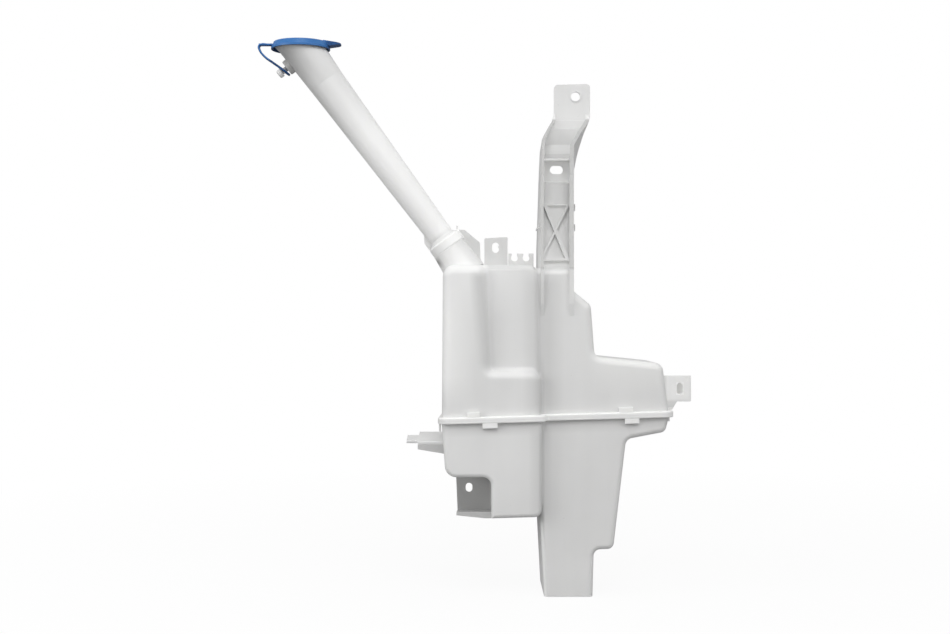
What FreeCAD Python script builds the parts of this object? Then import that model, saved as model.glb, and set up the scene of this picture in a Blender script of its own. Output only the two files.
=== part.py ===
import FreeCAD, Part
import math
import os

# Washer fluid reservoir. X runs to the right of the front face, Y away from the
# viewer into the vehicle panel, Z up. The origin is the centre of the round
# fixing hole at the top of the arm, on the face that meets the panel.

# Wall and rib thickness
wall = 2.6
thin_rib = 2.0
plate_thick = 3.2

# Depth of the main faces, from the panel face at Y = 0
tank_back = -8.0
box_front = -110.0
panel_front = box_front + 9.0
column_front = box_front + 12.0
rear_round = 4.0

# Weld plane between the halves
weld_height = -324.0
weld_tilt = 1.55
flange_half = 3.1
flange_reach = 4.2
flange_back_reach = 0.6
lap = 14.0

# Small tabs along the weld: left and right edges of those that stand above and below it
lap_tab_height = 7.8
upper_lap_tabs = [(-111.1, -99.4), (34.9, 48.5)]
lower_lap_tabs = [(-96.9, -82.5), (40.4, 54.2)]
hanging_tab_left = 14.0
hanging_tab_right = 9.0
hanging_tab_thick = 1.7
hanging_tab_back = -56.0
hanging_tab_front = -70.0

# Upper half of the box, with the set-back panel beside its left limb
tank_top = -177.7
box_left_top = -134.8
box_left_weld = -135.9
limb_right = -89.5
limb_slant = 4.0
ledge_height = -279.0
crease_top = -44.0
crease_weld = -40.0
box_round = 9.0
box_corner = 11.0
panel_round = 5.0
panel_corner = 8.0

# Upper half of the column and the wing
column_top = -180.5
column_inside = -74.0
column_right = -9.5
shoulder_low = (-8.0, -203.0)
shoulder_high = (8.4, -216.5)
wing_root = (12.2, -266.2)
wing_corner = (77.8, -272.8)
wing_right_weld = 84.0
column_round = 7.0
column_corner = 8.0
wing_corner_round = 9.0
wing_root_round = 7.0

# Lower half of the box, with the notch over the bracket
notch_ceiling = -381.7
notch_right = -88.5
notch_round = 8.0
box_left_low = -132.1
box_bottom = -421.2
box_bottom_right = -419.8
lower_round = 4.0
lower_corner = 7.0

# Lower half of the column: the foot and the underside of the wing
wing_low = (80.3, -339.1)
foot_root = (42.4, -346.3)
step_out = (30.0, -452.4)
step_in = (11.2, -453.2)
foot_right = 9.9
foot_left = -37.0
foot_left_top = -41.5
foot_bottom = -498.2
foot_join = -412.0
foot_round = 5.0
foot_root_round = 8.0
step_round = 6.5

# Filler socket, along an axis that leans away from the box
lean = 36.55
socket_x = -135.0
socket_y = -55.0
socket_z = -151.4
collar_radius = 17.8
collar_length = 10.0
collar_round = 1.6
socket_top_radius = 16.2
socket_top_shift = -0.6
socket_low_radius = 20.0
socket_low_shift = -1.9
socket_length = 42.0
seal_bore = 14.8
seal_depth = 12.0
seat_radius = 13.0
seat_thick = 2.0

# Filler neck
neck_low_radius = 12.65
neck_growth = 0.02705
neck_wall = 2.4
neck_plug_radius = 12.2
neck_plug_length = 22.0
neck_flange_radius = 15.6
neck_flange_thick = 1.2
neck_flare = 4.0
neck_cone_end = 195.0
neck_top = 36.0
neck_top_radius = 24.4
neck_top_shift = 3.4
mouth_x = -277.6
mouth_base = 39.5
mouth_top = 43.0
mouth_radius = 24.6
lip_radius = 26.4
lip_height = 2.4
seal_gap = 0.3

# Peg on the neck, for the ring of the strap
peg_x = -287.0
peg_height = 23.1
peg_lean = 38.1
peg_base_radius = 7.8
peg_base_length = 5.6
peg_stem_radius = 2.6
peg_stem_end = 11.6
peg_head_radius = 4.3
peg_head_length = 4.6

# Cap
cap_seat_gap = 0.3
cap_flange_radius = 29.3
cap_band_radius = 28.7
cap_low = 38.3
cap_band_low = 40.2
cap_shoulder = 45.2
cap_shoulder_radius = 26.8
cap_crown = 47.2
skirt_inner_radius = 27.5
plug_radius = 21.4
plug_low_radius = 20.2
plug_wall = 1.6
plug_length = 4.5
tab_tip = 40.3
tab_half_width = 8.0

# Strap between the cap and the peg
hinge_x = -319.4
hinge_z = 43.2
strap_width = 6.0
strap_thick = 2.1
strap_ring_radius = 7.5
strap_ring_hole = 3.5
strap_ring_at = 9.3
strap_angle = 36.7
stub_thick = 1.8
hinge_gap = 0.35

# Fixing holes, all on the panel face
arm_hole_radius = 4.7
arm_hole_rim = 5.8
arm_slot_at = (-19.8, -75.9)
arm_slot_size = (13.6, 8.7)
upper_slot_at = (-82.7, -156.2)
upper_slot_size = (6.9, 10.8)
right_slot_at = (101.4, -299.6)
right_slot_size = (6.6, 11.7)
bracket_slot_at = (-110.1, -404.0)
bracket_slot_size = (6.9, 9.5)

# Hose comb on top of the box
comb_left = -69.8
comb_right = -44.4
comb_top = -163.4
comb_front = -28.0
comb_thick = 8.0
clip_places = (-63.8, -51.9)
clip_height = -167.9
clip_radius = 3.5
clip_mouth = 5.6

# Fixing tab at the right end of the wing
right_tab_front = -48.0
right_tab_thick = 3.0
sleeve_half_width = 6.8
sleeve_half_height = 8.6

# Bracket under the notch of the box
bracket_left = -121.8
bracket_left_top = -124.3
bracket_bend = 27.0
bracket_low = -430.5
bracket_lip = -104.0
bracket_floor_thick = 3.0
floor_front_top = -415.6
floor_back_top = -427.0

# Locating tongue on the left wall
tongue_root = -131.0
tongue_step = -159.8
tongue_tip = -171.3
tongue_top = -344.0
tongue_back = -30.0
tongue_front = -85.0
tongue_fall = 0.0945
tongue_thick = 3.2
tongue_rib_low = -361.8
tongue_tooth_pitch = 2.6
tongue_tooth_back = -54.0
tongue_tooth_front = -62.0

# Pump port in the side of the foot
port_height = -477.0
port_y = -50.0
port_radius = 10.0
port_collar_radius = 12.6
port_collar_length = 6.0


def v(x, y, z):
    return FreeCAD.Vector(x, y, z)


# Closed outline with rounded corners; each corner is its two coordinates and a radius
def rounded_wire(corners, place):
    stops = []
    count = len(corners)
    for i in range(count):
        a, b, radius = corners[i]
        before = corners[i - 1]
        after = corners[(i + 1) % count]
        here = v(a, b, 0)
        back = v(before[0], before[1], 0).sub(here).normalize()
        ahead = v(after[0], after[1], 0).sub(here).normalize()
        if radius == 0:
            stops.append((here, None, here))
            continue
        half = back.getAngle(ahead) / 2
        run = radius / math.tan(half)
        middle_way = back.add(ahead).normalize()
        centre = here.add(middle_way * (radius / math.sin(half)))
        middle = centre.sub(middle_way * radius)
        stops.append((here.add(back * run), middle, here.add(ahead * run)))
    edges = []
    for i in range(count):
        start, middle, end = stops[i]
        following = stops[(i + 1) % count][0]
        if middle is not None:
            arc = Part.Arc(place(start.x, start.y), place(middle.x, middle.y), place(end.x, end.y))
            edges.append(arc.toShape())
        if end.distanceToPoint(following) > 1e-6:
            edges.append(Part.makeLine(place(end.x, end.y), place(following.x, following.y)))
    return Part.Wire(edges)


def front_wire(corners, y):
    return rounded_wire(corners, lambda x, z: v(x, y, z))


# Solid whose outline is seen from the front
def front_slab(corners, y_far, y_near):
    return Part.Face(front_wire(corners, y_far)).extrude(v(0, y_near - y_far, 0))


# Solid whose outline is seen from the side, as Y and Z pairs
def side_slab(corners, x_low, x_high):
    wire = rounded_wire(corners, lambda y, z: v(x_low, y, z))
    return Part.Face(wire).extrude(v(x_high - x_low, 0, 0))


def box(x_low, x_high, y_low, y_high, z_low, z_high):
    return Part.makeBox(x_high - x_low, y_high - y_low, z_high - z_low, v(x_low, y_low, z_low))


def fuse(solids):
    return solids[0].multiFuse(solids[1:]).removeSplitter()


def edges_in_plane(solid, y, low_z):
    found = []
    for edge in solid.Edges:
        if edge.BoundBox.ZMin < low_z + 0.01 and edge.BoundBox.ZLength < 3:
            continue
        if abs(edge.BoundBox.YMin - y) < 0.01 and abs(edge.BoundBox.YMax - y) < 0.01:
            found.append(edge)
    return found


# One lobe of the tank, drawn from the front and rounded at its front and back edges.
# Inset shrinks it by the wall thickness on every side, for the hollow inside.
# Edges at the sharp end of the outline stay sharp.
def lobe(corners, y_near, edge_round, inset, sharp_end):
    wire = front_wire(corners, tank_back)
    if inset > 0:
        trials = [wire.makeOffset2D(inset), wire.makeOffset2D(-inset)]
        wire = min(trials, key=lambda trial: abs(Part.Face(trial).Area))
    face = Part.Face(wire)
    face.translate(v(0, -inset, 0))
    solid = face.extrude(v(0, y_near - tank_back + 2 * inset, 0))
    end = sharp_end + inset
    front_edges = edges_in_plane(solid, y_near + inset, end)
    solid = solid.makeFillet(edge_round - inset, front_edges)
    back_edges = edges_in_plane(solid, tank_back - inset, end)
    return solid.makeFillet(rear_round - inset, back_edges)


# Inner corners between the lobes, in the front planes of the set-back panel and the column
def inner_corners(body):
    found = []
    for edge in body.Edges:
        faces = body.ancestorsOfType(edge, Part.Face)
        level = edge.BoundBox.YMin
        flat = edge.BoundBox.YLength < 0.01
        if not flat or len(faces) != 2 or min(abs(level - panel_front), abs(level - column_front)) > 0.01:
            continue
        middle = edge.valueAt((edge.FirstParameter + edge.LastParameter) / 2)
        first, second = [face.normalAt(*face.Surface.parameter(middle)) for face in faces]
        across = first.sub(second) * 0.2
        if body.isInside(middle.add(across), 0.001, True) and body.isInside(middle.sub(across), 0.001, True):
            found.append(edge)
    return found


# Soft inner corner down the lower crease, thinning out at its foot
def crease_fill():
    rings = []
    for z, radius in ((-312, inner_round), (-398, inner_round), (-409, 0.8)):
        x = crease_weld + (z - box_bottom_right) / (weld_height + lap - box_bottom_right)
        start = v(x, column_front - radius, z)
        bend = radius * (1 - math.sqrt(0.5))
        end = v(x + radius, column_front, z)
        arc = Part.Arc(start, v(x + bend, column_front - bend, z), end).toShape()
        points = [end, v(x + radius, column_front + 1, z), v(x - 1, column_front + 1, z)]
        points += [v(x - 1, column_front - radius, z), start]
        rings.append(Part.Wire([arc] + [Part.makeLine(a, b) for a, b in zip(points, points[1:])]))
    return Part.makeLoft(rings[:2], True, True).fuse(Part.makeLoft(rings[1:], True, True))


# Half space above or below the weld plane, as a large tilted block
def beyond_weld(above):
    reach = -2 * foot_bottom
    low = 0 if above else -reach
    block = Part.makeBox(2 * reach, reach, reach, v(-reach, -reach / 2, low))
    block.rotate(v(0, 0, 0), v(0, 1, 0), -weld_tilt)
    block.translate(v(0, 0, weld_height))
    return block


def upper_lobes(inset):
    low = weld_height - lap
    left_limb = [
        (box_left_weld, low, 0),
        (box_left_top, tank_top, box_corner),
        (limb_right - limb_slant, tank_top, box_round + 1),
        (limb_right, ledge_height, 3),
        (crease_weld - 1, ledge_height, box_round + 1),
        (crease_weld, low, 0),
    ]
    panel = [
        (box_left_top + 20, low, 0),
        (box_left_top + 20, tank_top, panel_corner),
        (crease_top, tank_top, panel_corner),
        (crease_weld, low, 0),
    ]
    column = [
        (column_inside, low, 0),
        (column_inside, column_top, column_corner),
        (column_right, column_top, column_corner),
        (*shoulder_low, 5),
        (*shoulder_high, column_corner),
        (*wing_root, wing_root_round),
        (*wing_corner, wing_corner_round),
        (wing_right_weld + 2, low, 0),
    ]
    return [
        lobe(left_limb, box_front, box_round, inset, low),
        lobe(panel, panel_front, panel_round, inset, low),
        lobe(column, column_front, column_round, inset, low),
    ]


def lower_lobes(inset):
    high = weld_height + lap
    left_box = [
        (box_left_weld - 1.5, high, 0),
        (crease_weld + 1, high, 0),
        (crease_weld, box_bottom_right, lower_corner),
        (notch_right + 0.5, box_bottom, 0),
        (notch_right, notch_ceiling, notch_round),
        (box_left_low, notch_ceiling, box_corner),
    ]
    column = [
        (column_inside, high, 0),
        (wing_right_weld + 3.6, high, 0),
        (*wing_low, lower_corner),
        (*foot_root, foot_root_round),
        (*step_out, step_round),
        (*step_in, step_round),
        (foot_right, foot_bottom, 0),
        (foot_left, foot_bottom, 0),
        (foot_left_top, foot_join, 0),
        (column_inside, foot_join, 0),
    ]
    return [
        lobe(left_box, box_front, lower_round, inset, 2 * foot_bottom),
        lobe(column, column_front, foot_round, inset, foot_bottom),
    ]


def weld_flange(above):
    reach = flange_reach
    left = box_left_weld - reach
    right = wing_right_weld + reach
    corners = [
        (box_left_weld - flange_back_reach, tank_back + reach, 4),
        (left, box_front - reach, box_round + 3),
        (crease_weld + reach, box_front - reach, 5),
        (crease_weld + reach, column_front - reach, 3),
        (right, column_front - reach, column_round + 3),
        (right, tank_back + reach, 4),
    ]
    wire = rounded_wire(corners, lambda x, y: v(x, y, 0))
    height = flange_half if above else -flange_half
    slab = Part.Face(wire).extrude(v(0, 0, height))
    level = [e for e in slab.Edges if e.BoundBox.ZLength < 0.01]
    rim = [e for e in level if abs(e.BoundBox.ZMin - height) < 0.01]
    slab = slab.makeFillet(1.2, rim)
    return on_weld(slab)


def on_weld(shape):
    shape.rotate(v(0, 0, 0), v(0, 1, 0), -weld_tilt)
    shape.translate(v(0, 0, weld_height))
    return shape


def along_neck(distance, shift):
    angle = math.radians(lean)
    across = v(math.cos(angle), 0, math.sin(angle))
    down = v(math.sin(angle), 0, -math.cos(angle))
    return v(socket_x, socket_y, socket_z).add(down * distance).add(across * shift)


def tilt(shape):
    shape.rotate(v(0, 0, 0), v(0, 1, 0), -lean)
    return shape


# Circle square to the neck, at a distance down its axis and shifted sideways
def neck_circle(distance, radius, shift):
    ring = tilt(Part.makeCircle(radius))
    ring.translate(along_neck(distance, shift))
    return Part.Wire([ring])


def neck_drum(near, far, radius):
    drum = tilt(Part.makeCylinder(radius, far - near, v(0, 0, -far)))
    drum.translate(along_neck(0, 0))
    return drum


def neck_loft(near, near_radius, near_shift, far, far_radius, far_shift):
    rings = [neck_circle(near, near_radius, near_shift), neck_circle(far, far_radius, far_shift)]
    return Part.makeLoft(rings, True, True)


# Tube of the filler socket, and the hollow through it
def socket_tube():
    tube = neck_loft(
        0, socket_top_radius, socket_top_shift, socket_length, socket_low_radius, socket_low_shift
    )
    collar = neck_drum(0, collar_length, collar_radius)
    rim = [e for e in collar.Edges if len(e.Vertexes) == 1]
    collar = collar.makeFillet(collar_round, rim)
    low = tank_top - wall - 0.7
    corners = [
        (socket_x + 15, socket_z + 10.8, 0),
        (socket_x + 20.5, socket_z + 10.8, 2),
        (socket_x + 36.2, socket_z - 2.0, 2),
        (socket_x + 36.6, socket_z - 18.6, 0),
        (socket_x + 43, low, 0),
        (socket_x + 20, low, 0),
    ]
    gusset_back = socket_y + 8
    gusset = front_slab(corners, gusset_back, gusset_back - thin_rib)
    nub = box(
        socket_x + 12.4, socket_x + 14.2, socket_y - 2, socket_y + 2, socket_z + 6.4, socket_z + 14.4
    )
    return [tube, collar, gusset, nub]


def socket_hollow():
    bore = neck_drum(-2, seal_depth, seal_bore)
    seat = neck_drum(seal_depth - 1, seal_depth + seat_thick, seat_radius)
    below = seal_depth + seat_thick
    share = below / socket_length
    radius = socket_top_radius + (socket_low_radius - socket_top_radius) * share - wall
    shift = socket_top_shift + (socket_low_shift - socket_top_shift) * share
    lower = neck_loft(
        below, radius, shift, socket_length + 6, socket_low_radius - wall + 0.5, socket_low_shift
    )
    return [bore, seat, lower]


def slot_cutter(centre, size, y_far, y_near):
    x, z = centre
    width, height = size
    radius = min(width, height) / 2 - 0.01
    corners = [
        (x - width / 2, z - height / 2, radius),
        (x + width / 2, z - height / 2, radius),
        (x + width / 2, z + height / 2, radius),
        (x - width / 2, z + height / 2, radius),
    ]
    return front_slab(corners, y_far, y_near)


# Arm: edges of its side walls seen from the front, from the top down. The right wall
# leans inwards from the panel face to its front rim, so it has an edge for each.
arm_top = -18.0
arm_bottom = -234.0
arm_left = [
    (-22.6, arm_top), (-24.4, -26), (-28.6, -33), (-34.6, -44.6), (-36.8, -57), (-37.8, -76),
    (-40.4, -158), (-40.4, arm_bottom),
]
arm_right_back = [
    (14.8, arm_top), (14.6, -24), (8.0, -40), (3.5, -54), (1.4, -62), (-1.4, -76), (-1.4, arm_bottom),
]
arm_right_front = [
    (12.8, arm_top), (10.6, -24), (-7.0, -40), (-14.8, -54), (-12.0, -62), (-8.7, -76), (-8.5, arm_bottom),
]
arm_depth = column_front - 4.0
arm_wall = 3.0
arm_right_wall = 4.4

# Side profile of the arm's front rims, as Y and Z
rim_profile = [
    (-2.5, arm_top + 1), (-5, -22), (-14, -30), (-44, -57), (-52, -86), (column_front - 2.4, -180),
    (column_front - 2.0, -215), (column_front + 1.0, arm_bottom + 1),
]

# Side profile of the front face of the web between the rims, with the pad of the slot
pad_top = -66.5
pad_low = -88.0
web_thick = 2.8
web_profile = [
    (-plate_thick, arm_top + 1), (-plate_thick, -24.5), (-11, -34), (-8.5, -50.5), (-13, -60.5),
    (-20, pad_top + 0.4), (-plate_thick, pad_top), (-plate_thick, pad_low), (-22, pad_low - 4),
    (-34, -113), (-79, -172), (-84, -178.5), (column_front + 2.4, -182), (column_front + 1.5, -194),
]

# Ribs that stand on the web: the crossed pair, the level ones at its ends, and those outside
rib_stand = 6.0
bay_top = -114.0
bay_bottom = -171.6
outer_rib_heights = [-137.9, -117.2]
outer_rib_stand = 1.2

# Radius of the soft inner corners where the lobes of the tank meet
inner_round = 4.0


def arm_outline(right, inset, y):
    reach = 8 if inset > 0 else 0
    right_inset = arm_right_wall if inset > 0 else inset
    points = [(x + inset, z) for x, z in arm_left] + [(x - right_inset, z) for x, z in reversed(right)]
    corners = []
    for x, z in points:
        if z == arm_top:
            z = z + reach
        if z == arm_bottom:
            z = z - reach
        corners.append(v(x, y, z))
    return Part.makePolygon(corners + corners[:1])


def arm_envelope(inset):
    back = arm_outline(arm_right_back, inset, 0)
    front = arm_outline(arm_right_front, inset, arm_depth)
    return Part.makeLoft([back, front], True, True)


def under_rims(drop):
    corners = [(y + drop, z, 0) for y, z in rim_profile]
    corners += [(20, rim_profile[-1][1], 0), (20, rim_profile[0][1], 0)]
    return side_slab(corners, -60, 40)


def web_sheet():
    line = Part.makePolygon([v(-60, y, z) for y, z in web_profile])
    trials = [line.makeOffset2D(side * web_thick, 2, True, True) for side in (1, -1)]
    behind = max(trials, key=lambda trial: trial.CenterOfMass.y)
    return behind.extrude(v(100, 0, 0))


def diagonal_rib(start, end, half_thick, y_far, y_near):
    run = v(end[0] - start[0], 0, end[1] - start[1])
    side = v(-run.z, 0, run.x).normalize() * half_thick
    a = v(start[0], y_far, start[1])
    b = v(end[0], y_far, end[1])
    wire = Part.makePolygon([a.add(side), b.add(side), b.sub(side), a.sub(side), a.add(side)])
    return Part.Face(wire).extrude(v(0, y_near - y_far, 0))


# Slab across the arm at one height, as thick as a rib
def level_slab(height, x_low):
    return box(x_low, 40, arm_depth - 8, 0, height - thin_rib / 2, height + thin_rib / 2)


# Crossed ribs in the bay and the level ribs at its ends, all standing on the web
def web_ribs(envelope):
    falling = diagonal_rib((-33.6, bay_top), (-13.6, bay_bottom), thin_rib * 0.9, 0, arm_depth)
    rising = diagonal_rib((-9.4, bay_top), (-39.4, bay_bottom), thin_rib / 2, 0, arm_depth)
    slabs = [level_slab(bay_top, -60), level_slab(bay_bottom, -60), falling, rising]
    slope = web_profile[-5:-2]
    corners = [(y + 1, z, 0) for y, z in slope] + [(y - rib_stand, z, 0) for y, z in reversed(slope)]
    room = side_slab(corners, -60, 40).common(envelope)
    return [slab.common(room) for slab in slabs]


# Thin ribs round the outside of the side walls
def outer_ribs(envelope):
    around = arm_envelope(-outer_rib_stand).cut(envelope).common(under_rims(1.5))
    low, high = outer_rib_heights
    return level_slab(low, -60).common(around).Solids + level_slab(high, -15).common(around).Solids


def arm():
    envelope = arm_envelope(0)
    side_walls = envelope.cut(arm_envelope(arm_wall)).common(under_rims(0))
    sheet = web_sheet().common(envelope)
    ring = Part.makeCylinder(arm_hole_rim, 1.0, v(0, -plate_thick, 0), v(0, -1, 0))
    plate_low = arm_top - 9
    corners = [
        (-22.3, 12.0, 4), (15.0, 13.0, 4), (15.0, -22.0, 4), (13.0, plate_low, 0),
        (-24.0, plate_low, 0), (-22.3, -20, 0),
    ]
    top_plate = front_slab(corners, 0, -plate_thick)
    return [side_walls, sheet, ring, top_plate] + web_ribs(envelope) + outer_ribs(envelope)


def arm_holes():
    hole = Part.makeCylinder(arm_hole_radius, 40, v(0, 10, 0), v(0, -1, 0))
    return [hole, slot_cutter(arm_slot_at, arm_slot_size, 10, -30)]


# Plates on top of the box: the upper fixing tab and the hose comb
def top_plates():
    slot_x, slot_z = upper_slot_at
    left = slot_x - 11.5
    right = slot_x + 12.4
    low = tank_top - 12.3
    outline = [(left, low, 0), (left, slot_z + 9.6, 1), (right, slot_z + 11, 1), (right, low, 0)]
    tab = front_slab(outline, 0, -plate_thick)
    foot = box(left, right, tank_back - 6, -1, low, tank_top + 2.7)
    nub = box(slot_x + 2.7, slot_x + 4.5, -plate_thick, 0, slot_z - 0.3, slot_z + 1.7)
    comb = box(comb_left, comb_right, comb_front, comb_front + comb_thick, tank_top - 1.3, comb_top)
    return [tab, foot, comb], nub


def comb_holes():
    cuts = []
    y_far = comb_front + comb_thick + 2
    for x in clip_places:
        cuts.append(Part.makeCylinder(clip_radius, comb_thick + 4, v(x, y_far, clip_height), v(0, -1, 0)))
        half = clip_mouth / 2
        cuts.append(box(x - half, x + half, comb_front - 2, y_far, clip_height + 1.9, comb_top + 3))
    return cuts


# Fixing tab at the right end of the wing: a plate in front and a deep sleeve round its slot
def right_tab():
    slot_x, slot_z = right_slot_at
    root = wing_corner[0] - 3.8
    top = slot_z + 13
    low = slot_z - 12.9
    outline = [
        (root, top, 0), (slot_x + 11, top, 1), (slot_x + 11, low, 1), (slot_x - 3, low, 0),
        (slot_x - 9.4, weld_height + 1, 0), (root, weld_height + 1, 0),
    ]
    back = right_tab_front + right_tab_thick
    plate = front_slab(outline, back, right_tab_front)
    corners = []
    for across, up in ((-1, 1), (1, 1), (1, -1), (-1, -1)):
        corners.append((slot_x + across * sleeve_half_width, slot_z + up * sleeve_half_height, 3))
    sleeve = front_slab(corners, 0, back - 1)
    brace = box(root + 2, slot_x - 5.4, -30, -30 + thin_rib, low, slot_z + 10.6)
    return [plate, sleeve, brace]


def lap_tabs(above):
    places = upper_lap_tabs if above else lower_lap_tabs
    base = 0 if above else -lap_tab_height
    tabs = []
    for low, high in places:
        face = box_front if high < 0 else column_front
        y_low = face - flange_reach + 0.4
        tabs.append(on_weld(box(low, high, y_low, face + 1, base, base + lap_tab_height)))
    return tabs


def hanging_tabs():
    left = box_left_weld - flange_reach + 0.3
    right = wing_right_weld + flange_reach - 0.4 - hanging_tab_thick
    tabs = []
    for x, height in ((left, hanging_tab_left), (right, hanging_tab_right)):
        tab = box(x, x + hanging_tab_thick, hanging_tab_front, hanging_tab_back, -height, 0)
        tabs.append(on_weld(tab))
    return tabs


# Bracket in the notch: back plate on the panel face, sloping floor and side cheek
def bracket():
    left = bracket_left
    right = notch_right + 4
    top = notch_ceiling + 9.7
    outline = [(left, bracket_low, 0), (right, bracket_low, 0), (right, top, 0), (bracket_left_top, top, 0)]
    plate = front_slab(outline, 0, -plate_thick)
    head = box(left, right, tank_back - 6, -1, notch_ceiling - wall, notch_ceiling + 7.7)
    cheek = box(notch_right, right, tank_back - 6, -1, bracket_low, top)
    bend = left + bracket_bend
    ends = []
    for y, level, drop in ((0, floor_back_top, 0.4), (bracket_lip, floor_front_top, 2.8)):
        low = level - bracket_floor_thick
        corners = [(left, level), (left, low), (bend, low - drop), (right, low - drop), (right, level)]
        points = [v(x, y, z) for x, z in corners]
        ends.append(Part.makePolygon(points + points[:1]))
    return [plate, head, cheek, Part.makeLoft(ends, True, True)]


# Plate of the tongue between two distances to the left, a little below its upper level
def tongue_plate(x_low, x_high, y_back, y_front, lower):
    corners = []
    for y, down in ((y_back, 0), (y_back, tongue_thick), (y_front, tongue_thick), (y_front, 0)):
        corners.append((y, tongue_level(y) - lower - down, 1))
    return side_slab(corners, x_low, x_high)


def tongue_level(y):
    return tongue_top + (y - tongue_back) * tongue_fall


# Locating tongue on the left wall, with its ribs underneath and a toothed tip
def tongue():
    plate = tongue_plate(tongue_step, tongue_root, tongue_back, tongue_front, 0)
    tip = tongue_plate(tongue_tip, tongue_step + 4.8, tongue_back - 13, tongue_front + 13, 1)
    ribs = []
    for y in (-83.6, -71.0, -57.5, -44.0, -33.4):
        top = tongue_level(y) - 1.5
        corners = [
            (tongue_step, top, 0), (tongue_root, top, 0),
            (tongue_root, tongue_rib_low, 0), (tongue_step, tongue_rib_low + 4.8, 0),
        ]
        ribs.append(front_slab(corners, y + thin_rib / 2, y - thin_rib / 2))
    teeth = []
    tooth_top = tongue_top - 4.5
    for step in range(4):
        x = tongue_tip + 1.4 + step * tongue_tooth_pitch
        corners = [(x, tooth_top, 0), (x + 1.6, tooth_top, 0), (x + 1.6, tooth_top - 4.9, 0)]
        teeth.append(front_slab(corners, tongue_tooth_back, tongue_tooth_front))
    return [plate, tip] + ribs + teeth


def pump_port():
    start = v(foot_right + 0.2, port_y, port_height)
    return Part.makeCylinder(port_collar_radius, port_collar_length + 3, start, v(-1, 0, 0))


def upper_shell():
    tab_parts, nub = top_plates()
    tank = fuse(upper_lobes(0))
    tank = tank.makeFillet(inner_round, inner_corners(tank))
    shell = fuse([tank, weld_flange(True)] + socket_tube() + arm() + tab_parts + right_tab())
    cavity = fuse(upper_lobes(wall))
    cuts = [cavity, beyond_weld(False)] + socket_hollow() + arm_holes() + comb_holes()
    cuts.append(slot_cutter(upper_slot_at, upper_slot_size, plate_thick, -2 * plate_thick))
    cuts.append(slot_cutter(right_slot_at, right_slot_size, right_tab_thick, 1.2 * right_tab_front))
    shell = shell.cut(cuts)
    return fuse([shell, nub] + lap_tabs(True))


def lower_shell():
    solids = lower_lobes(0) + [crease_fill(), weld_flange(False)] + bracket() + tongue()
    shell = fuse(solids)
    cavity = fuse(lower_lobes(wall))
    port = Part.makeCylinder(port_radius, 40, v(foot_right + 10, port_y, port_height), v(-1, 0, 0))
    shell = shell.cut([cavity, beyond_weld(True), slot_cutter(bracket_slot_at, bracket_slot_size, 4, -10)])
    shell = fuse([shell, pump_port()] + lap_tabs(False) + hanging_tabs())
    return shell.cut(port)


def neck_radius(distance):
    return neck_low_radius + neck_growth * distance


# Neck from its plug to the mouth; inset gives the hollow inside
def neck_body(inset):
    low = -0.5 if inset else 0
    plug = neck_drum(-4, neck_plug_length - low, neck_plug_radius - inset)
    cone_top = neck_radius(neck_cone_end) - inset
    cone = neck_loft(0, neck_radius(0) - inset, 0, -neck_cone_end, cone_top, 0)
    base = v(mouth_x, socket_y, mouth_base)
    rings = [
        neck_circle(-neck_cone_end, cone_top, 0),
        level_circle(mouth_x + neck_top_shift, neck_top, neck_top_radius - inset),
        level_circle(mouth_x, mouth_base, mouth_radius - inset),
    ]
    flare = Part.makeLoft(rings[:2], True, True)
    turn = Part.makeLoft(rings[1:], True, True)
    rim = Part.makeCylinder(mouth_radius - inset, mouth_top - mouth_base - low, base)
    return [plug, cone, flare, turn, rim]


def level_circle(x, z, radius):
    return Part.Wire([Part.makeCircle(radius, v(x, socket_y, z))])


def peg_place():
    angle = math.radians(peg_lean)
    outward = v(-math.cos(angle), 0, -math.sin(angle))
    return v(peg_x, socket_y, peg_height), outward


def peg():
    foot, outward = peg_place()
    base = Part.makeCylinder(peg_base_radius, peg_base_length + 3, foot.sub(outward * 3), outward)
    base = base.makeFillet(1.2, far_circles(base, foot, outward, peg_base_length - 1))
    stem = Part.makeCylinder(peg_stem_radius, peg_stem_end + 1, foot, outward)
    head_foot = foot.add(outward * peg_stem_end)
    head = Part.makeCylinder(peg_head_radius, peg_head_length, head_foot, outward)
    head = head.makeFillet(1.8, far_circles(head, head_foot, outward, peg_head_length - 1))
    return [base, stem, head]


# Round edges of a solid that lie further out than a distance
def far_circles(solid, foot, outward, distance):
    found = []
    for edge in solid.Edges:
        if len(edge.Vertexes) == 1 and edge.CenterOfMass.sub(foot).dot(outward) > distance:
            found.append(edge)
    return found


def filler_neck():
    outside = neck_body(0)
    flange = neck_drum(-neck_flange_thick, 0, neck_flange_radius)
    flare_radius = neck_radius(neck_flare) - 0.1
    taper = neck_loft(-neck_flange_thick, neck_flange_radius - 1.2, 0, -neck_flare, flare_radius, 0)
    lip = Part.makeCylinder(lip_radius, lip_height, v(mouth_x, socket_y, mouth_top - lip_height))
    lip = lip.makeFillet(0.9, [e for e in lip.Edges if len(e.Vertexes) == 1])
    outline = [(-19.8, 4.9, 0), (-19.4, -3.2, 2), (-14.6, -10.0, 0), (-11.5, -7.7, 0), (-2, 1.4, 0)]
    corners = [(socket_x + across, socket_z + up, rounding) for across, up, rounding in outline]
    key = front_slab(corners, socket_y + 4, socket_y + 4 - thin_rib)
    neck = fuse(outside + [flange, taper, lip, key] + peg())
    return neck.cut(neck_body(neck_wall))


def neck_seal():
    ring = neck_drum(0.4, seal_depth, seal_bore - seal_gap)
    return ring.cut(neck_drum(0, seal_depth + 1, neck_plug_radius + seal_gap))


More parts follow.
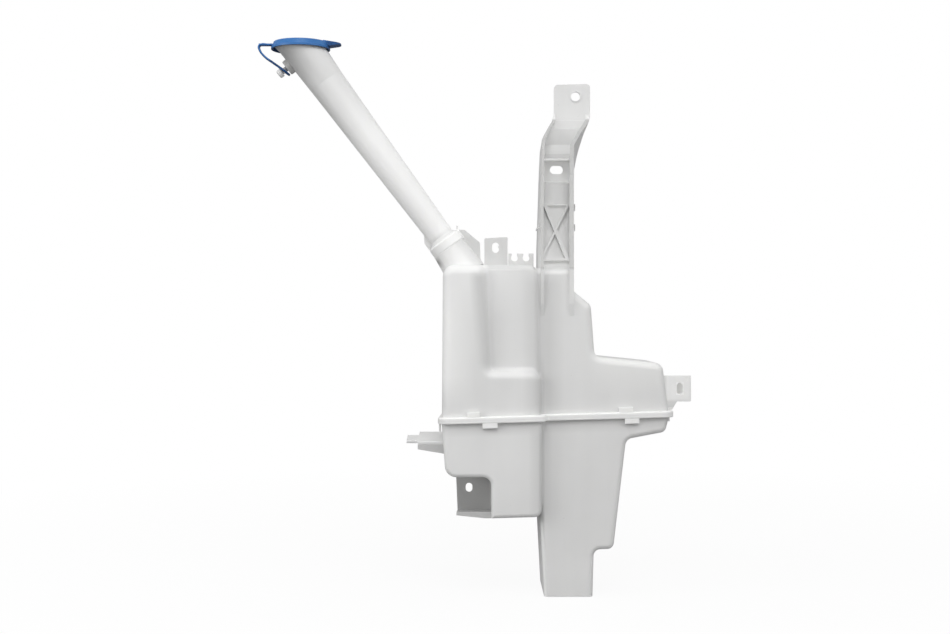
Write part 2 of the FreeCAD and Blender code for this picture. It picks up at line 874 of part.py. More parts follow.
def filler_cap():
    under = mouth_top + cap_seat_gap
    outline = [
        (0, under), (skirt_inner_radius, under), (skirt_inner_radius, cap_low),
        (cap_flange_radius, cap_low), (cap_flange_radius, cap_band_low),
        (cap_band_radius, cap_band_low + 0.3), (cap_shoulder_radius, cap_shoulder),
    ]
    profile = [v(mouth_x + radius, socket_y, z) for radius, z in outline]
    crown_round = v(mouth_x + 14, socket_y, cap_crown - 0.5)
    crown = v(mouth_x, socket_y, cap_crown)
    edges = [Part.makeLine(a, b) for a, b in zip(profile, profile[1:])]
    edges.append(Part.Arc(profile[-1], crown_round, crown).toShape())
    edges.append(Part.makeLine(crown, profile[0]))
    disc = Part.Face(Part.Wire(edges)).revolve(v(mouth_x, socket_y, 0), v(0, 0, 1), 360)
    disc.rotate(v(mouth_x, socket_y, 0), v(0, 0, 1), 90)
    plug_low = under - plug_length
    plug = Part.makeCone(plug_low_radius, plug_radius, plug_length + 0.5, v(mouth_x, socket_y, plug_low))
    plug = plug.cut(Part.makeCylinder(plug_low_radius - plug_wall, 20, v(mouth_x, socket_y, plug_low - 1)))
    return fuse([disc, plug, lift_tab(), strap_stub()])


# Finger tab at the edge of the cap, away from the strap
def lift_tab():
    root = mouth_x + 23
    tip = mouth_x + tab_tip
    outline = [
        (root, cap_shoulder - 1.2, 0), (root, cap_shoulder + 1.6, 0), (tip, cap_shoulder - 1.2, 0),
        (tip, cap_shoulder - 2.4, 0), (root + 3, cap_shoulder - 4.4, 0),
    ]
    tab = front_slab(outline, socket_y + tab_half_width, socket_y - tab_half_width)
    corners = []
    for edge in tab.Edges:
        if edge.BoundBox.XMin > tip - 0.1 and edge.BoundBox.YLength < 0.01:
            corners.append(edge)
    tab = tab.makeFillet(5, corners)
    return tab.cut(Part.makeCylinder(skirt_inner_radius + 0.4, 8, v(mouth_x, socket_y, cap_shoulder - 9.2)))


def strap_stub():
    half = strap_width / 2
    left = hinge_x + hinge_gap
    right = mouth_x - cap_band_radius + 0.9
    low = hinge_z - stub_thick / 2
    return box(left, right, socket_y - half, socket_y + half, low, low + stub_thick)


def cap_strap():
    foot, outward = peg_place()
    centre = foot.add(outward * strap_ring_at)
    slope = math.radians(strap_angle)
    along = v(math.cos(slope), 0, -math.sin(slope))
    square = v(math.sin(slope), 0, math.cos(slope))
    half = strap_thick / 2
    ring = Part.makeCylinder(strap_ring_radius, strap_thick, centre.sub(square * half), square)
    start = centre.sub(along * 5)
    turn = centre.sub(along * 24.5)
    over = [start.add(square * half), turn.add(square * half)]
    under = [turn.sub(square * half), start.sub(square * half)]
    top = hinge_z - stub_thick / 2 - hinge_gap
    corners = [
        (over[0].x, over[0].z, 0), (over[1].x, over[1].z, 3),
        (hinge_x + half, top, 0), (hinge_x - half, top, 0),
        (under[0].x - 2.2, under[0].z + 1.0, 3), (under[1].x, under[1].z, 0),
    ]
    band = front_slab(corners, socket_y + strap_width / 2, socket_y - strap_width / 2)
    hole = Part.makeCylinder(strap_ring_hole, 4 * strap_thick, centre.sub(square * 2 * strap_thick), square)
    return fuse([ring, band]).cut(hole)


makers = {
    "upper_shell": upper_shell,
    "lower_shell": lower_shell,
    "filler_neck": filler_neck,
    "neck_seal": neck_seal,
    "filler_cap": filler_cap,
    "cap_strap": cap_strap,
}

os.makedirs("parts", exist_ok=True)
for name, make in makers.items():
    shape = make()
    shape.exportStep("parts/" + name + ".step")
    print(name, "solids", len(shape.Solids), "valid", shape.isValid(), "volume", round(shape.Volume))
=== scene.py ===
import math
from collections import namedtuple

import bpy
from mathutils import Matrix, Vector


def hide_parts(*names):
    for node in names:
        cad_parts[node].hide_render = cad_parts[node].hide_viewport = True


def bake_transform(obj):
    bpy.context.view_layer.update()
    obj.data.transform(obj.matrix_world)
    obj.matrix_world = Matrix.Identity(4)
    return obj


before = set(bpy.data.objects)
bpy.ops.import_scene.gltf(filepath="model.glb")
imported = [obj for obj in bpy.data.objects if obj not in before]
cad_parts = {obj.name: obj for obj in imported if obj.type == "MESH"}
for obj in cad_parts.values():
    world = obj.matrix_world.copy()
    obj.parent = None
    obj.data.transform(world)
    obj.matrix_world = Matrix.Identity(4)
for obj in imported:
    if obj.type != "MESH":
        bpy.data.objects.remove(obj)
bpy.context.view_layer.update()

scene = bpy.context.scene
mm = 0.001
black = (0, 0, 0, 1)
white = (1, 1, 1, 1)

# Three signals that belong together: a place on the piece, or the way that its surface faces
Axes = namedtuple("Axes", "x y z")


# A shader socket that takes part in sums, so a pattern reads as one line of arithmetic
class Signal:
    def __init__(self, shading, socket):
        self.shading = shading
        self.socket = socket

    def combine(self, operation, first, second):
        return self.shading.node("ShaderNodeMath", {"operation": operation}, {0: first, 1: second})

    def __add__(self, other):
        return self.combine("ADD", self, other)

    def __radd__(self, other):
        return self.combine("ADD", other, self)

    def __sub__(self, other):
        return self.combine("SUBTRACT", self, other)

    def __rsub__(self, other):
        return self.combine("SUBTRACT", other, self)

    def __mul__(self, other):
        return self.combine("MULTIPLY", self, other)

    def __rmul__(self, other):
        return self.combine("MULTIPLY", other, self)

    def __truediv__(self, other):
        return self.combine("DIVIDE", self, other)

    def __rtruediv__(self, other):
        return self.combine("DIVIDE", other, self)

    def __pow__(self, other):
        return self.combine("POWER", self, other)

    def __rpow__(self, other):
        return self.combine("POWER", other, self)


class Shading:
    def __init__(self, nodeTree):
        nodeTree.nodes.clear()
        self.nodes = nodeTree.nodes
        self.links = nodeTree.links

    # Any node: its settings are set first, then the values or links of its sockets
    def node(self, kind, settings=None, inputs=None, output=0):
        made = self.nodes.new(kind)
        for name, value in (settings or {}).items():
            if name == "stops":
                self.setStops(made.color_ramp, value)
            else:
                setattr(made, name, value)
        for name, value in (inputs or {}).items():
            if isinstance(value, Signal):
                self.links.new(value.socket, made.inputs[name])
            else:
                made.inputs[name].default_value = value
        return Signal(self, made.outputs[output]) if made.outputs else None

    def setStops(self, ramp, stops):
        while len(ramp.elements) > 1:
            ramp.elements.remove(ramp.elements[-1])
        for index, (place, value) in enumerate(stops):
            stop = ramp.elements[0] if index == 0 else ramp.elements.new(place)
            stop.position = place
            stop.color = (value, value, value, 1)

    def split(self, vector):
        parts = [self.node("ShaderNodeSeparateXYZ", {}, {"Vector": vector}, output=axis) for axis in "XYZ"]
        return Axes(*parts)

    # Place on the piece in metres, stretched along its axes
    def place(self, stretch=(1, 1, 1)):
        point = self.node("ShaderNodeTexCoord", output="Object")
        return self.node("ShaderNodeMapping", {}, {"Vector": point, "Scale": stretch})

    # Place on the piece in millimetres, as three signals
    def axes(self):
        return self.split(self.place((1 / mm, 1 / mm, 1 / mm)))

    # How far the surface faces right, back and up, as three signals from -1 to 1
    def facing(self):
        return self.split(self.node("ShaderNodeTexCoord", output="Normal"))

    def noise(self, scale, detail, stretch=(1, 1, 1)):
        values = {"Vector": self.place(stretch), "Scale": scale, "Detail": detail}
        return self.node("ShaderNodeTexNoise", {}, values)

    # Soft step of a pattern from nothing at one level to one at another
    def between(self, pattern, nothing, one):
        values = {"Value": pattern, "From Min": nothing, "From Max": one}
        return self.node("ShaderNodeMapRange", {"clamp": True}, values)

    # One between two limits, falling off softly outside them
    def within(self, value, low, high, soft):
        return self.between(value, low - soft, low) * self.between(value, high + soft, high)

    # One inside a block that has limits along x, y and z, falling off softly outside it
    def inside(self, at, limits, softness):
        masks = [self.within(axis, *limit, soft) for axis, limit, soft in zip(at, limits, softness)]
        return masks[0] * masks[1] * masks[2]

    def larger(self, first, second):
        return self.node("ShaderNodeMath", {"operation": "MAXIMUM"}, {0: first, 1: second})

    # A Mix node's colours are its inputs 6 and 7, and its blended colour is output 2
    def blendColours(self, share, first, second):
        values = {0: share, 6: first, 7: second}
        return self.node("ShaderNodeMix", {"data_type": "RGBA"}, values, output=2)

    # Relief of a pattern, laid over the relief below it where there is one
    def relief(self, height, strength, depth, below=None):
        values = {"Height": height, "Strength": strength, "Distance": depth}
        if below:
            values["Normal"] = below
        return self.node("ShaderNodeBump", {}, values)

    def finish(self, values):
        surface = self.node("ShaderNodeBsdfPrincipled", {}, values)
        self.node("ShaderNodeOutputMaterial", {}, {"Surface": surface})


def newFinish(name):
    material = bpy.data.materials.new(name)
    material.use_nodes = True
    return material, Shading(material.node_tree)


# Painted light and shade on the moulding: limits in x, y and z, softness along each, and colour
# Painted light on the slot's pad, the left, top, right and right tab, and painted shade on the rest
tankLightAndShade = {
    "bracketShade": ((-130, -86), (-90, 5), (-432, -378), (3, 3, 3), (0.52, 0.52, 0.515, 1)),
    "bracketLipShade": ((-126, -88.5), (-108, -92), (-428, -408), (0.5, 3, 1), (0.53, 0.53, 0.525, 1)),
    "slotPadLight": ((-40, 12), (-14, 2), (-89, -65), (2, 2, 2), (0.86, 0.86, 0.855, 1)),
    "armFloorShade": ((-38, -7), (-98, -1), (-180, -92), (1, 2, 4), (0.70, 0.70, 0.695, 1)),
    "leftLight": ((-150, -132), (-125, -60), (-285, -180), (28, 20, 28), (0.90, 0.90, 0.89, 1)),
    "topLight": ((-150, -80), (-125, -75), (-190, -172), (30, 5, 40), (0.845, 0.845, 0.84, 1)),
    "highCreaseShade": ((-44, -32), (-125, -60), (-312, -196), (15, 9, 15), (0.66, 0.66, 0.655, 1)),
    "lowCreaseShade": ((-44, -38), (-125, -60), (-412, -334), (9, 9, 9), (0.67, 0.67, 0.665, 1)),
    "rightLight": ((25, 90), (-125, -60), (-275, -190), (30, 20, 30), (0.82, 0.82, 0.81, 1)),
    "rightTabLight": ((89, 110), (-125, 5), (-310, -270), (3, 3, 3), (0.93, 0.93, 0.92, 1)),
    "gussetShade": ((-119.5, -93), (-51, -45), (-178, -139), (1, 1, 2), (0.71, 0.71, 0.705, 1)),
    "panelTopShade": ((-90, -48), (-106, -80), (-181.2, -176), (5, 3, 0.8), (0.68, 0.68, 0.675, 1)),
    "tongueRibsShade": ((-170, -131), (-90, -25), (-364, -353), (1, 2, 1), (0.60, 0.60, 0.595, 1)),
    "cove": ((-41.6, -38.0), (-125, -60), (-420, -295), (1.8, 9, 35), (0.60, 0.60, 0.595, 1)),
}

# Painted light, as a glow through thin walls: behind the slot's pad, and in the right tab's sleeve
tankGlows = {
    "slotPadLight": ((-40, 12), (-6, -2), (-88, -66), (1, 1, 1), (0.05, 0.05, 0.05, 1)),
    "sleeve": ((97.7, 105.1), (-66, 2), (-305.9, -293.3), (0.3, 0.5, 0.3), (0.095, 0.095, 0.094, 1)),
}


# Lays the colour of each zone over the colour below it, one zone after another
def paintZones(shade, at, zones, colour):
    for *limits, softness, tint in zones.values():
        colour = shade.blendColours(shade.inside(at, limits, softness), colour, tint)
    return colour


# From here a pair of limits is where a tint starts and where it is full, and three values are
# the low limit, the high limit and the softness outside them

# Shade on the step from the box to the set-back panel, which leans to the right on its way down
boxStep = {
    "across": (-101, -97, 8),
    "atHeight": -205,
    "lean": 0.09,
    "height": (-272, -190, 8),
    "depth": (-88, -94),
    "colour": (0.67, 0.67, 0.665, 1),
}


def paintStep(shade, at, colour):
    upright = at.x + boxStep["lean"] * (at.z - boxStep["atHeight"])
    onStep = shade.within(upright, *boxStep["across"]) * shade.within(at.z, *boxStep["height"])
    onStep = onStep * shade.between(at.y, *boxStep["depth"])
    return shade.blendColours(onStep, colour, boxStep["colour"])


# How far a wall faces one way: too little to be tinted, and enough for the full tint
facesUp = (0.2, 0.8)
facesDown = (-0.25, -0.75)
facesLeft = (-0.4, -0.8)

# Fixing arm: painted shade on upper rib tops and wall edges, and painted light on all rib undersides
fixingArm = {
    "across": (-47, 30, 1),
    "height": (-180, -26, 3),
    "ribTops": (-74, -70),
    "ribTopShade": (0.62, 0.62, 0.615, 1),
    "ribUnderLight": (0.97, 0.97, 0.965, 1),
    # Height, and how far forward the walls' edges stand there
    "wallEdges": [(-180, 100.4), (-86, 52), (-57, 44), (-30, 14), (-22, 5)],
    # The lowest height and the farthest edge that the ramp between them covers
    "lowest": -200,
    "farthest": 110,
    "edgeThickness": (4, 2),
    "edgeShade": (0.50, 0.50, 0.495, 1),
}


def paintArm(shade, at, facing, colour):
    onArm = shade.within(at.x, *fixingArm["across"]) * shade.within(at.z, *fixingArm["height"])
    ribTops = onArm * shade.between(facing.z, *facesUp) * shade.between(at.z, *fixingArm["ribTops"])
    colour = shade.blendColours(ribTops, colour, fixingArm["ribTopShade"])
    ribUndersides = onArm * shade.between(facing.z, *facesDown)
    colour = shade.blendColours(ribUndersides, colour, fixingArm["ribUnderLight"])
    lowest, farthest = fixingArm["lowest"], fixingArm["farthest"]
    stops = [(1 - height / lowest, forward / farthest) for height, forward in fixingArm["wallEdges"]]
    edge = farthest * shade.node("ShaderNodeValToRGB", {"stops": stops}, {"Fac": 1 - at.z / lowest})
    wallEdges = onArm * shade.between(at.y + edge, *fixingArm["edgeThickness"])
    return shade.blendColours(wallEdges, colour, fixingArm["edgeShade"])


# Painted light on the left side of the foot, paler than its front
footSideLight = {"across": (-50, -28, 3), "height": (-500, -428, 8), "colour": (0.96, 0.96, 0.95, 1)}


def paintFoot(shade, at, facing, colour):
    onFoot = shade.within(at.x, *footSideLight["across"]) * shade.within(at.z, *footSideLight["height"])
    return shade.blendColours(onFoot * shade.between(facing.x, *facesLeft), colour, footSideLight["colour"])


# Weld seam round the tank: a pale bead, lap tabs that stand on the front, and a soft shade below
weldSeam = {
    "height": -324,
    "slope": 0.02705,
    "bead": (-3.2, 3.2, 0.3),
    "laps": (-9, 9, 0.5),
    "lapFronts": (-111.5, -99.5),
    "lapStep": (-37, -36),
    "lapThickness": 0.5,
    "colour": (0.90, 0.90, 0.89, 1),
    "shade": (-7, -3, 9),
    "shadeShare": 0.9,
    "shadeColour": (0.66, 0.66, 0.655, 1),
}


def paintSeam(shade, at, colour):
    above = at.z - weldSeam["slope"] * at.x - weldSeam["height"]
    shaded = weldSeam["shadeShare"] * shade.within(above, *weldSeam["shade"])
    colour = shade.blendColours(shaded, colour, weldSeam["shadeColour"])
    bead = shade.within(above, *weldSeam["bead"])
    boxFront, columnFront = weldSeam["lapFronts"]
    front = boxFront + (columnFront - boxFront) * shade.between(at.x, *weldSeam["lapStep"])
    laps = shade.within(above, *weldSeam["laps"])
    laps = laps * shade.between(at.y - front, 0, -weldSeam["lapThickness"])
    return shade.blendColours(shade.larger(bead, laps), colour, weldSeam["colour"])


# The slanted line of the filler: the point where the neck meets its socket, and degrees from upright
fillerLine = {"meeting": (-135, -151.4), "slant": 36.55}


# Distances from the meeting down the filler's line, and across it to the right
def alongFiller(at):
    right = at.x - fillerLine["meeting"][0]
    up = at.z - fillerLine["meeting"][1]
    slant = math.radians(fillerLine["slant"])
    down = right * math.sin(slant) - up * math.cos(slant)
    across = right * math.cos(slant) + up * math.sin(slant)
    return down, across


# Socket: painted light on its collar, and painted shade at its left edge, above where it meets the box
# Its radius widens by a share of each mm down the filler's line, and 1 outward is at that radius
fillerSocket = {
    "collar": (-0.5, 9.5, 1),
    "collarAcross": (-18.5, 18.1, 0.3),
    "collarLight": (0.92, 0.92, 0.91, 1),
    "radius": 16.8,
    "widening": 0.12,
    "shade": (14, 40, 5),
    "shadeAcross": (-1.2, -0.97, 0.25),
    "shadeFoot": (-180, -175),
    "shadeColour": (0.36, 0.36, 0.355, 1),
}


def paintSocket(shade, at, colour):
    down, across = alongFiller(at)
    collar = shade.within(down, *fillerSocket["collar"])
    collar = collar * shade.within(across, *fillerSocket["collarAcross"])
    colour = shade.blendColours(collar, colour, fillerSocket["collarLight"])
    outward = across / (fillerSocket["radius"] + fillerSocket["widening"] * down)
    shaded = shade.within(down, *fillerSocket["shade"])
    shaded = shaded * shade.within(outward, *fillerSocket["shadeAcross"])
    shaded = shaded * shade.between(at.z, *fillerSocket["shadeFoot"])
    return shade.blendColours(shaded, colour, fillerSocket["shadeColour"])


# Neck: painted light low down, painted shade on its left edge higher up, and painted shadow under the cap
# Its radius widens on the way up, and limits down the line are negative above the meeting
fillerNeck = {
    "radius": 12.65,
    "widening": 0.027,
    "foot": (-2, -8),
    "across": (-1.3, 1.3, 0.1),
    "lowPart": (-190, -120),
    "lowLight": (0.925, 0.925, 0.915, 1),
    "highPart": (-100, -190),
    "leftEdge": (-0.45, -1.0),
    "edgeShade": (0.60, 0.60, 0.595, 1),
    "mouth": (2, 32),
    "mouthLeft": (0.1, -0.9),
    "mouthShadow": (0.36, 0.36, 0.355, 1),
}


def paintNeck(shade, at, colour):
    down, across = alongFiller(at)
    outward = across / (fillerNeck["radius"] - fillerNeck["widening"] * down)
    onNeck = shade.between(down, *fillerNeck["foot"]) * shade.within(outward, *fillerNeck["across"])
    lowPart = onNeck * shade.between(down, *fillerNeck["lowPart"])
    colour = shade.blendColours(lowPart, colour, fillerNeck["lowLight"])
    leftEdge = onNeck * shade.between(outward, *fillerNeck["leftEdge"])
    leftEdge = leftEdge * shade.between(down, *fillerNeck["highPart"])
    colour = shade.blendColours(leftEdge, colour, fillerNeck["edgeShade"])
    underCap = onNeck * shade.between(at.z, *fillerNeck["mouth"])
    underCap = underCap * shade.between(outward, *fillerNeck["mouthLeft"])
    return shade.blendColours(underCap, colour, fillerNeck["mouthShadow"])


# Painted light: a glow on undersides from light above through thin walls, strongest at the arm's ribs
underLight = {
    "colour": (0.06, 0.06, 0.06, 1),
    "ribColour": (0.31, 0.31, 0.307, 1),
    "ribsAcross": (-38, -8, 1),
    "ribsHeight": (-182, -26, 3),
}


def lightThrough(shade, at, facing):
    atRibs = shade.within(at.x, *underLight["ribsAcross"]) * shade.within(at.z, *underLight["ribsHeight"])
    light = shade.blendColours(atRibs, underLight["colour"], underLight["ribColour"])
    light = shade.blendColours(shade.between(facing.z, *facesDown), black, light)
    return paintZones(shade, at, tankGlows, light)


# White polypropylene, slightly see-through, with a satin mould texture
tankPlastic = {
    "colour": (0.79, 0.79, 0.785, 1),
    "shadeColour": (0.735, 0.735, 0.73, 1),
    "toneLevels": (0.36, 0.64),
    "cloudShare": 0.7,
    "speckColour": (0.56, 0.55, 0.53, 1),
    "speckLevels": (0.735, 0.78),
    "speckShare": 0.5,
    "roughness": 0.40,
    "streakRoughness": 0.12,
    "glow": 0.4,
    "glowDepth": 2.0 * mm,
    "glowReach": (1.0, 1.0, 0.95),
    "refraction": 1.49,
    # Patterns: scale, detail and stretch
    "cloud": (9, 3),
    "streaks": (55, 4, (1, 1, 0.09)),
    "specks": (420, 2),
    "ripple": (26, 2),
    "grain": (1500, 2),
    # Relief: strength and depth
    "rippleRelief": (0.35, 0.9 * mm),
    "grainRelief": (0.10, 0.12 * mm),
    # A slight swell of the front, as shading alone: its sides, where its crest is between them, metres
    "swellSides": (-140, 90),
    "swellCrest": 0.45,
    "swell": 0.037,
}


def tankRelief(shade, at, look):
    fromCrest = shade.between(at.x, *look["swellSides"]) - look["swellCrest"]
    relief = shade.relief(-look["swell"] * fromCrest * fromCrest, 1.0, 1.0)
    relief = shade.relief(shade.noise(*look["ripple"]), *look["rippleRelief"], relief)
    return shade.relief(shade.noise(*look["grain"]), *look["grainRelief"], relief)


def makeTankPlastic(name, look):
    material, shade = newFinish(name)
    at, facing = shade.axes(), shade.facing()
    streaks = shade.noise(*look["streaks"])
    pattern = shade.noise(*look["cloud"]) * look["cloudShare"] + streaks * (1 - look["cloudShare"])
    tone = shade.between(pattern, *look["toneLevels"])
    colour = shade.blendColours(tone, look["shadeColour"], look["colour"])
    specks = shade.between(shade.noise(*look["specks"]), *look["speckLevels"])
    colour = shade.blendColours(specks * look["speckShare"], colour, look["speckColour"])
    colour = paintZones(shade, at, tankLightAndShade, colour)
    colour = paintStep(shade, at, colour)
    colour = paintArm(shade, at, facing, colour)
    colour = paintFoot(shade, at, facing, colour)
    colour = paintSeam(shade, at, colour)
    colour = paintSocket(shade, at, colour)
    colour = paintNeck(shade, at, colour)
    shade.finish({
        "Base Color": colour,
        "Roughness": look["roughness"] + look["streakRoughness"] * streaks,
        "Normal": tankRelief(shade, at, look),
        "IOR": look["refraction"],
        # Painted light: the glow on undersides and thin walls
        "Emission Color": lightThrough(shade, at, facing),
        "Emission Strength": 1.0,
        "Subsurface Weight": look["glow"],
        "Subsurface Radius": look["glowReach"],
        "Subsurface Scale": look["glowDepth"],
    })
    return material


# Blue polyethylene of cap and strap, with painted shade on undersides, inside the skirt and on tab sides
capBlue = {
    "colour": (0.040, 0.165, 0.44, 1),
    "wornColour": (0.062, 0.20, 0.475, 1),
    "underShade": (0.009, 0.062, 0.20, 1),
    "roughness": 0.36,
    "rubRoughness": 0.14,
    "shine": 0.3,
    "glow": 0.12,
    "glowDepth": 1.5 * mm,
    "glowReach": (0.5, 0.8, 1.0),
    # Patterns: scale, detail and stretch, then the levels and the share that count
    "cloud": (60, 4),
    "cloudLevels": (0.35, 0.7),
    "cloudShare": 0.4,
    "rubs": (260, 5, (1, 1, 3)),
    "rubLevels": (0.56, 0.75),
    "rubShare": 0.35,
    "grain": (900, 3),
    "grainRelief": (0.12, 0.15 * mm),
    # How far up a wall faces, on undersides and on the lift tab's sides
    "undersides": (-0.05, -0.45),
    "tabSides": (0.6, 0.2),
    "tabFrom": (-253, -249),
    "tabShare": 0.85,
    # Inner wall of the skirt, which tapers upwards round the cap's middle
    "middle": (-277.6, -55),
    "skirtRadius": (28.2, 27.9),
    "skirtTaper": 0.25,
    "skirtHeight": 38.3,
    "skirtTop": (45.0, 44.0),
}


def makeCapBlue(name, look):
    material, shade = newFinish(name)
    at, facing = shade.axes(), shade.facing()
    cloud = shade.between(shade.noise(*look["cloud"]), *look["cloudLevels"])
    rubs = shade.between(shade.noise(*look["rubs"]), *look["rubLevels"])
    worn = cloud * look["cloudShare"] + rubs * look["rubShare"]
    colour = shade.blendColours(worn, look["colour"], look["wornColour"])
    right = at.x - look["middle"][0]
    back = at.y - look["middle"][1]
    radius = (right * right + back * back) ** 0.5
    untapered = radius + look["skirtTaper"] * (at.z - look["skirtHeight"])
    insideSkirt = shade.between(untapered, *look["skirtRadius"]) * shade.between(at.z, *look["skirtTop"])
    dark = shade.larger(shade.between(facing.z, *look["undersides"]), insideSkirt)
    colour = shade.blendColours(dark, colour, look["underShade"])
    tabSides = shade.between(at.x, *look["tabFrom"]) * shade.between(facing.z, *look["tabSides"])
    colour = shade.blendColours(tabSides * look["tabShare"], colour, look["underShade"])
    shade.finish({
        "Base Color": colour,
        "Roughness": look["roughness"] + look["rubRoughness"] * rubs,
        "Specular IOR Level": look["shine"],
        "Normal": shade.relief(shade.noise(*look["grain"]), *look["grainRelief"]),
        "Subsurface Weight": look["glow"],
        "Subsurface Radius": look["glowReach"],
        "Subsurface Scale": look["glowDepth"],
    })
    return material


# Black rubber of the hidden seal, with a little dust
sealRubber = {
    "colour": (0.02, 0.02, 0.021, 1),
    "dustColour": (0.06, 0.058, 0.055, 1),
    "dust": (180, 4),
    "dustLevels": (0.45, 0.75),
    "dustShare": 0.5,
    "roughness": 0.62,
    "dustRoughness": 0.2,
}


def makeSealRubber(name, look):
    material, shade = newFinish(name)
    dust = shade.between(shade.noise(*look["dust"]), *look["dustLevels"])
    shade.finish({
        "Base Color": shade.blendColours(dust * look["dustShare"], look["colour"], look["dustColour"]),
        "Roughness": look["roughness"] + look["dustRoughness"] * dust,
    })
    return material


print("finishes")
whiteFinish = makeTankPlastic("tank_plastic", tankPlastic)
blueFinish = makeCapBlue("cap_plastic", capBlue)
rubberFinish = makeSealRubber("seal_rubber", sealRubber)

finishOfNode = {
    "upper_shell": whiteFinish,
    "lower_shell": whiteFinish,
    "filler_neck": whiteFinish,
    "neck_seal": rubberFinish,
    "filler_cap": blueFinish,
    "cap_strap": blueFinish,
}
for nodeName, finish in finishOfNode.items():
    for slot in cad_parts[nodeName].material_slots:
        slot.material = finish

# The strap is a soft band, drawn as one curve from the cap's stub down to its ring on the peg
# Sizes are in millimetres, and each place is x and z in the plane of its middle
strap = {
    "middle": -55.0,
    "width": 6.6,
    "thickness": 2.0,
    "route": [
        (-302.0, 43.1), (-310.0, 43.2), (-316.4, 43.4), (-318.9, 41.8), (-318.5, 38.2), (-313.8, 31.8),
        (-305.0, 25.3), (-294.3, 17.9),
    ],
    "ringPlace": (-294.3, 17.4),
    "ringSlope": 36.7,
    "ringRadius": 7.5,
    "ringRounding": 0.6,
    "ringHole": 3.5,
    # Steps of each bend, of the band's edges and round the ring, and degrees that still look smooth
    "bendSteps": 16,
    "edgeSteps": 3,
    "ringSides": 64,
    "holeSides": 48,
    "smooth": 40,
    # The stretch beside the hinge where the band turns from the tank's side to the cap's
    "bendsFrom": (-318.9, 38.5),
    "bendsTo": (-317.9, 42.0),
}


def dropSelection():
    if bpy.context.object and bpy.context.object.mode != "OBJECT":
        bpy.ops.object.mode_set(mode="OBJECT")
    bpy.ops.object.select_all(action="DESELECT")


def pick(piece):
    dropSelection()
    piece.select_set(True)
    bpy.context.view_layer.objects.active = piece


# Every finished piece sits at the origin with its size and turn in its mesh
def settle(piece):
    pick(piece)
    bpy.ops.object.transform_apply(location=True, rotation=True, scale=True)


def applyModifier(piece, kind, **values):
    pick(piece)
    bpy.ops.object.modifier_add(type=kind)
    modifier = piece.modifiers[-1]
    for name, value in values.items():
        setattr(modifier, name, value)
    bpy.ops.object.modifier_apply(modifier=modifier.name)


def makeBand(size):
    dropSelection()
    bpy.ops.curve.primitive_bezier_curve_add(location=(0, size["middle"] * mm, 0))
    band = bpy.context.object
    band.name = "cap_strap_soft"
    line = band.data.splines[0].bezier_points
    line.add(len(size["route"]) - len(line))
    for point, (x, z) in zip(line, size["route"]):
        point.co = (x * mm, z * mm, 0)
        point.handle_left_type = "AUTO"
        point.handle_right_type = "AUTO"
    band.data.resolution_u = size["bendSteps"]
    band.data.extrude = (size["width"] - size["thickness"]) / 2 * mm
    band.data.bevel_depth = size["thickness"] / 2 * mm
    band.data.bevel_resolution = size["edgeSteps"]
    band.data.use_fill_caps = True
    band.rotation_euler = (math.radians(90), 0, 0)
    pick(band)
    bpy.ops.object.convert(target="MESH")
    settle(band)
    return band


# A place in the plane of the strap's middle, in metres
def inPlane(size, place):
    return (place[0] * mm, size["middle"] * mm, place[1] * mm)


# A disc square to the ring's slope, for the ring itself and for its hole
def ringDisc(size, radius, thickness, sides):
    dropSelection()
    centre = inPlane(size, size["ringPlace"])
    turn = (0, math.radians(size["ringSlope"]), 0)
    bpy.ops.mesh.primitive_cylinder_add(
        vertices=sides, radius=radius * mm, depth=thickness * mm, location=centre, rotation=turn)
    return bpy.context.object


def makeStrap(size):
    band = makeBand(size)
    ring = ringDisc(size, size["ringRadius"], size["thickness"], size["ringSides"])
    settle(ring)
    rounding = size["ringRounding"] * mm
    applyModifier(ring, "BEVEL", width=rounding, segments=size["edgeSteps"], limit_method="ANGLE")
    applyModifier(band, "BOOLEAN", operation="UNION", solver="EXACT", object=ring)
    # The cutter of the hole is far thicker than the ring, so that it goes right through
    hole = ringDisc(size, size["ringHole"], 5 * size["thickness"], size["holeSides"])
    applyModifier(band, "BOOLEAN", operation="DIFFERENCE", solver="EXACT", object=hole)
    for tool in (ring, hole):
        bpy.data.objects.remove(tool)
    pick(band)
    bpy.ops.object.shade_smooth_by_angle(angle=math.radians(size["smooth"]))
    band.data.materials.clear()
    band.data.materials.append(blueFinish)
    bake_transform(band)
    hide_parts("cap_strap")


print("strap")
makeStrap(strap)

# Room: brighter above than below and in front than at the sides, and plain white to the viewer
# A fade is where a change starts and ends, on a direction whose parts run from -1 to 1
room = {
    "above": 0.70,
    "level": 0.62,
    "below": 0.26,
    "aboveFade": (0.0, 1.0),
    "belowFade": (0.0, -0.7),
    "sides": 0.50,
    "frontFade": (0.3, -0.8),
    "topFade": (0.2, 0.9),
}


def whiteForViewer(shade):
    camera = shade.node("ShaderNodeLightPath", output="Is Camera Ray")
    clear = shade.node("ShaderNodeLightPath", output="Is Transmission Ray")
    return shade.node("ShaderNodeClamp", {}, {"Value": camera + clear})


def makeRoom(look):
    world = bpy.data.worlds.new("room")
    scene.world = world
    world.use_nodes = True
    shade = Shading(world.node_tree)
    way = shade.split(shade.node("ShaderNodeTexCoord", output="Generated"))
    above = shade.between(way.z, *look["aboveFade"]) * (look["above"] - look["level"])
    below = shade.between(way.z, *look["belowFade"]) * (look["level"] - look["below"])
    front = shade.between(way.y, *look["frontFade"]) * (1 - look["sides"]) + look["sides"]
    front = front + shade.between(way.z, *look["topFade"]) * (1 - front)
    seen = whiteForViewer(shade)
    level = seen + (1 - seen) * front * (look["level"] + above - below)
    sky = shade.node("ShaderNodeBackground", {}, {"Color": white, "Strength": level})
    shade.node("ShaderNodeOutputWorld", {}, {"Surface": sky})


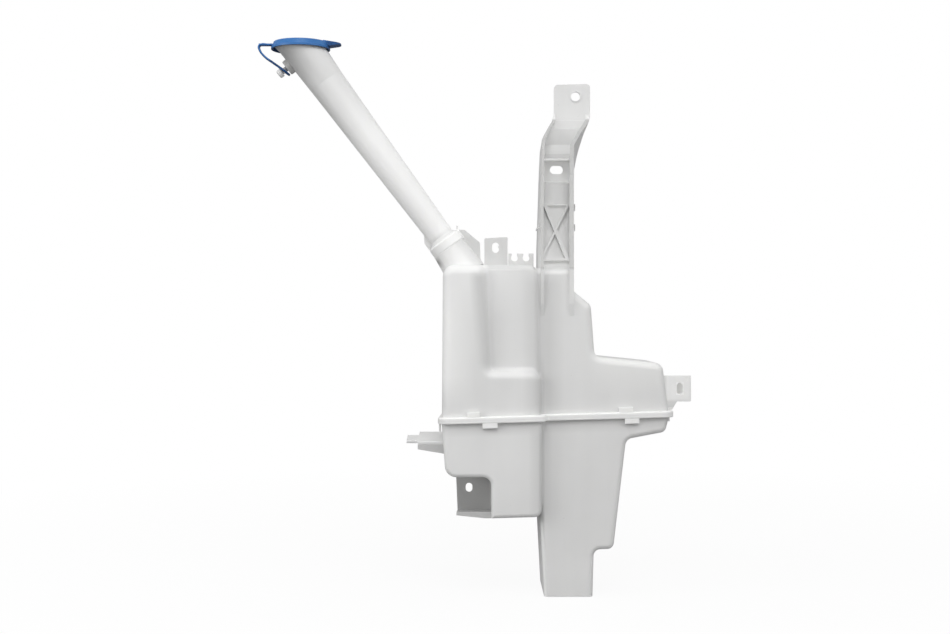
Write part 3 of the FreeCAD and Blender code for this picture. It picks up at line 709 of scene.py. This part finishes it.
# Pale floor just under the foot, white to the viewer but for a faint shadow near the object
floorSheet = {
    "height": -498.6 * mm,
    "half": 6.0,
    "paint": (0.86, 0.86, 0.86, 1),
    "bounce": (0.25, 0.25, 0.25, 1),
    "shadowFade": (0.25, 1.1),
    "shadowShare": 0.08,
}


def makeFloorPaint(look):
    material, shade = newFinish("floor_paint")
    point = shade.node("ShaderNodeTexCoord", output="Object")
    distance = shade.node("ShaderNodeVectorMath", {"operation": "LENGTH"}, {0: point}, output="Value")
    nearness = 1 - shade.between(distance, *look["shadowFade"])
    seen = whiteForViewer(shade)
    colour = shade.blendColours(seen, look["bounce"], look["paint"])
    paint = shade.node("ShaderNodeBsdfDiffuse", {}, {"Color": colour})
    paper = shade.node("ShaderNodeEmission", {}, {"Color": white, "Strength": 1.0})
    share = seen * (1 - nearness * look["shadowShare"])
    mixed = shade.node("ShaderNodeMixShader", {}, {0: share, 1: paint, 2: paper})
    shade.node("ShaderNodeOutputMaterial", {}, {"Surface": mixed})
    return material


def makeFloor(look):
    dropSelection()
    bpy.ops.mesh.primitive_plane_add(size=2 * look["half"], location=(0, 0, look["height"]))
    floor = bpy.context.object
    floor.name = "floor"
    floor.data.materials.append(makeFloorPaint(look))


# Soft round lamps: place, point aimed at, width, watts
lamps = {
    "topLamp": ((-0.05, -1.5, 1.2), (-0.05, -0.05, -0.25), 1.3, 14.5),
    "leftLamp": ((-1.8, -0.9, 0.3), (-0.1, -0.05, -0.25), 1.2, 12),
    "rightLamp": ((1.6, -1.2, 0.3), (0.0, -0.05, -0.25), 1.2, 7),
}


def addLamp(name, place, target, size, watts):
    bpy.ops.object.light_add(type="AREA", location=place)
    lamp = bpy.context.object
    lamp.name = name
    lamp.data.shape = "DISK"
    lamp.data.size = size
    lamp.data.energy = watts
    aim = Vector(target) - Vector(place)
    lamp.rotation_euler = aim.to_track_quat("-Z", "Y").to_euler()


print("studio")
makeRoom(room)
makeFloor(floorSheet)
for lampName, values in lamps.items():
    addLamp(lampName, *values)

# Camera: level, square to the front face, a little left of the column
view = {
    "place": (-103.9 * mm, -1450 * mm, -227.9 * mm),
    "focalPixels": 1400,
    "pictureWidth": 950,
    "filmWidth": 36.0,
    "nearest": 10 * mm,
}


def addCamera(look):
    bpy.ops.object.camera_add(location=look["place"], rotation=(math.radians(90), 0, 0))
    camera = bpy.context.object
    camera.name = "camera"
    camera.data.sensor_width = look["filmWidth"]
    camera.data.lens = look["focalPixels"] * look["filmWidth"] / look["pictureWidth"]
    camera.data.clip_start = look["nearest"]
    scene.camera = camera


print("camera")
addCamera(view)
scene.view_settings.view_transform = "Standard"
